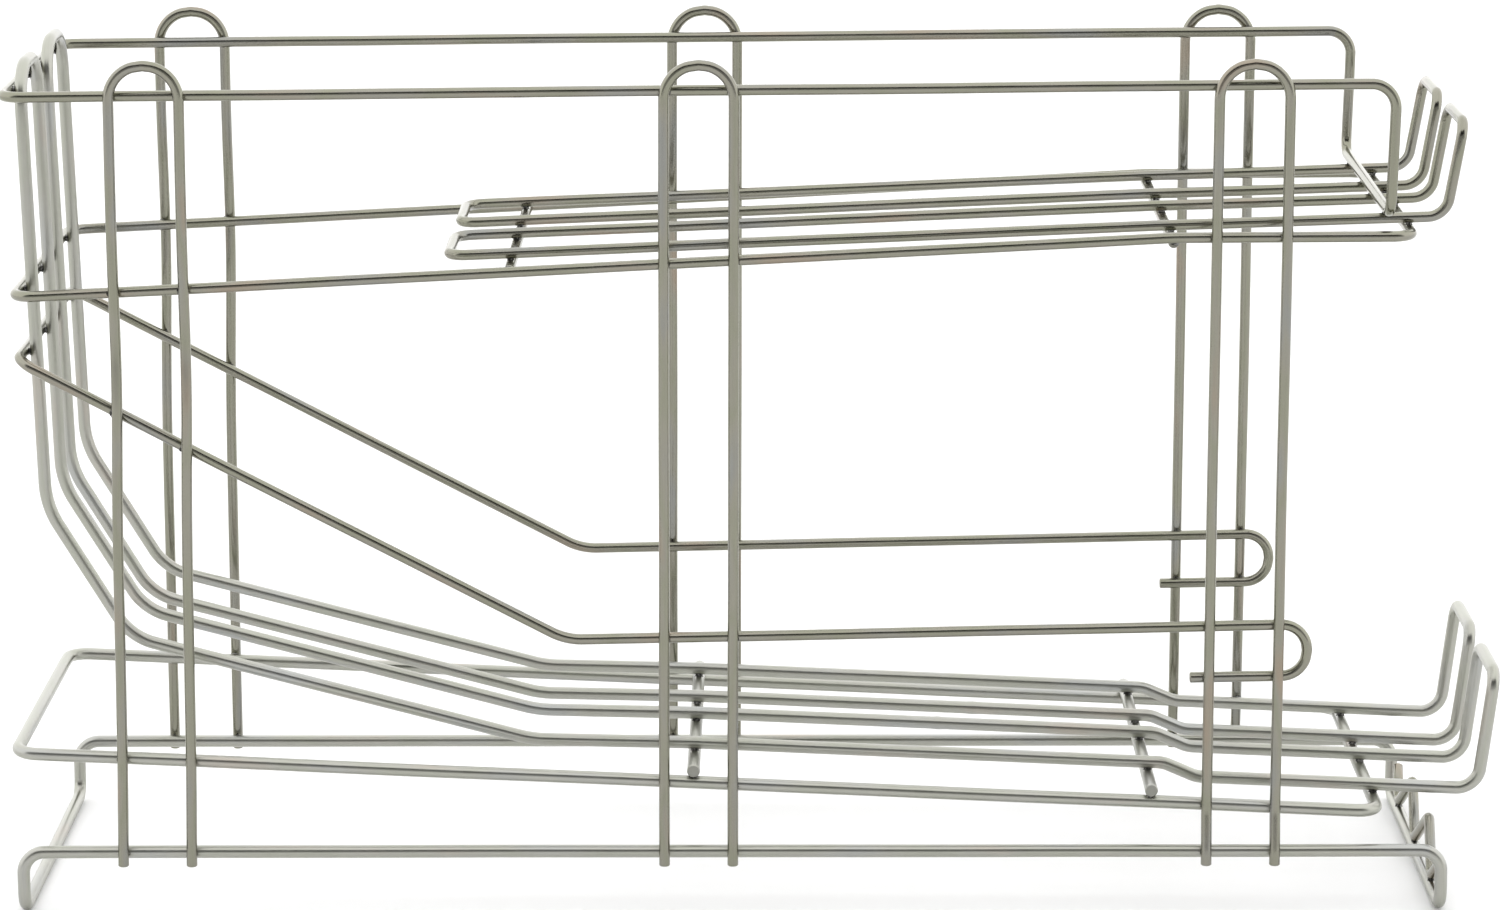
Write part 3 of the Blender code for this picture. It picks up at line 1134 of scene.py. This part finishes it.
def lay_floor(scene, light):
    """The pale floor that the rack stands on."""
    half = light.floor_size / 2
    mesh = bpy.data.meshes.new("studio_floor")
    corners = [(-half, -half, 0.0), (half, -half, 0.0), (half, half, 0.0), (-half, half, 0.0)]
    mesh.from_pydata(corners, [], [(0, 1, 2, 3)])
    material, tree = new_material("floor_paper")
    inputs = {
        "Base Color": rgba(light.floor),
        "Roughness": 0.9,
        "Specular IOR Level": 0.1,
        "Emission Color": rgba(WHITE),
        "Emission Strength": light.floor_glow,
    }
    shader = tree.add("ShaderNodeBsdfPrincipled", {}, inputs)
    tree.add("ShaderNodeOutputMaterial", {}, {"Surface": shader})
    mesh.materials.append(material)
    floor = bpy.data.objects.new("studio_floor", mesh)
    scene.collection.objects.link(floor)


def hang_lights(scene, light):
    """Light from all round, but for a dim wall with a dark opening over it on the left side."""
    world = bpy.data.worlds.new("studio_room")
    world.use_nodes = True
    tree = Tree(world.node_tree)
    way = tree.add("ShaderNodeTexCoord", {}, output=0)
    rise = tree.add("ShaderNodeSeparateXYZ", {}, {"Vector": way}, output=2)
    across = tree.add("ShaderNodeSeparateXYZ", {}, {"Vector": way}, output=1)
    wall, gap, ceiling = (
        tree.add("ShaderNodeBackground", {}, {"Color": rgba(WHITE), "Strength": strength})
        for strength in (light.wall, light.gap, light.ceiling)
    )
    over_foot, over_top = (
        tree.step(rise, math.sin(edge - SOFT_EDGE), math.sin(edge + SOFT_EDGE))
        for edge in (light.gap_foot, light.gap_top)
    )
    left = tree.step(-1.0 * across, LEFT_FROM, LEFT_TO)
    room = tree.add("ShaderNodeMixShader", {}, {0: left * (1.0 - over_foot), 1: ceiling, 2: wall})
    opening = left * over_foot * (1.0 - over_top)
    room = tree.add("ShaderNodeMixShader", {}, {0: opening, 1: room, 2: gap})
    tree.add("ShaderNodeOutputWorld", {}, {"Surface": room})
    scene.world = world


def stand_camera(scene, view):
    """The camera at the place and turn that the settings give."""
    lens = bpy.data.cameras.new("camera")
    lens.sensor_width = SENSOR_WIDTH
    lens.sensor_fit = "HORIZONTAL"
    lens.lens = view.lens
    lens.clip_end = VIEW_DEPTH
    camera = bpy.data.objects.new("camera", lens)
    level = math.cos(view.dip)
    ahead = Vector((math.sin(view.turn) * level, math.cos(view.turn) * level, -math.sin(view.dip)))
    right = Vector((math.cos(view.turn), -math.sin(view.turn), 0.0))
    up = right.cross(ahead)
    rolled_right = right * math.cos(view.roll) + up * math.sin(view.roll)
    rolled_up = up * math.cos(view.roll) - right * math.sin(view.roll)
    axes = Matrix((rolled_right, rolled_up, -ahead)).transposed().to_4x4()
    camera.matrix_world = Matrix.Translation(view.place) @ axes
    scene.collection.objects.link(camera)
    scene.camera = camera


# ---------------------------------------------------------------- add-on


class RACK_PT_panel(bpy.types.Panel):
    """Buttons for the pieces of the can rack"""

    bl_idname = "RACK_PT_panel"
    bl_label = "Can Rack"
    bl_space_type = "VIEW_3D"
    bl_region_type = "UI"
    bl_category = "Can Rack"

    def draw(self, context):
        for operator in OPERATORS:
            self.layout.operator(operator.bl_idname)
        for group in SETTINGS:
            settings = getattr(context.scene, group)
            box = self.layout.box()
            for name in settings.bl_rna.properties.keys():
                if name not in ("rna_type", "name"):
                    box.prop(settings, name)


OPERATORS = (
    RACK_OT_base_ring,
    RACK_OT_ramp_rings,
    RACK_OT_top_ring,
    RACK_OT_mid_guide,
    RACK_OT_uprights,
    RACK_OT_runners,
    RACK_OT_cross_bars,
    RACK_OT_front_zigzag,
    RACK_OT_welds,
    RACK_OT_studio,
)
SETTINGS = {
    "rack_wire_shape": WireShape,
    "rack_weld_shape": WeldShape,
    "rack_finish": ZincFinish,
    "rack_light": StudioLight,
    "rack_view": Viewpoint,
}
CLASSES = (*SETTINGS.values(), *OPERATORS, RACK_PT_panel)


def register():
    for item in CLASSES:
        bpy.utils.register_class(item)
    for name, group in SETTINGS.items():
        setattr(bpy.types.Scene, name, bpy.props.PointerProperty(type=group))


def unregister():
    for name in SETTINGS:
        delattr(bpy.types.Scene, name)
    for item in reversed(CLASSES):
        bpy.utils.unregister_class(item)


def main():
    register()
    bpy.ops.rack.base_ring()
    bpy.ops.rack.ramp_rings()
    bpy.ops.rack.top_ring()
    bpy.ops.rack.mid_guide()
    bpy.ops.rack.uprights()
    bpy.ops.rack.runners()
    bpy.ops.rack.cross_bars()
    bpy.ops.rack.front_zigzag()
    bpy.ops.rack.welds()
    bpy.ops.rack.studio()


if __name__ == "__main__":
    main()
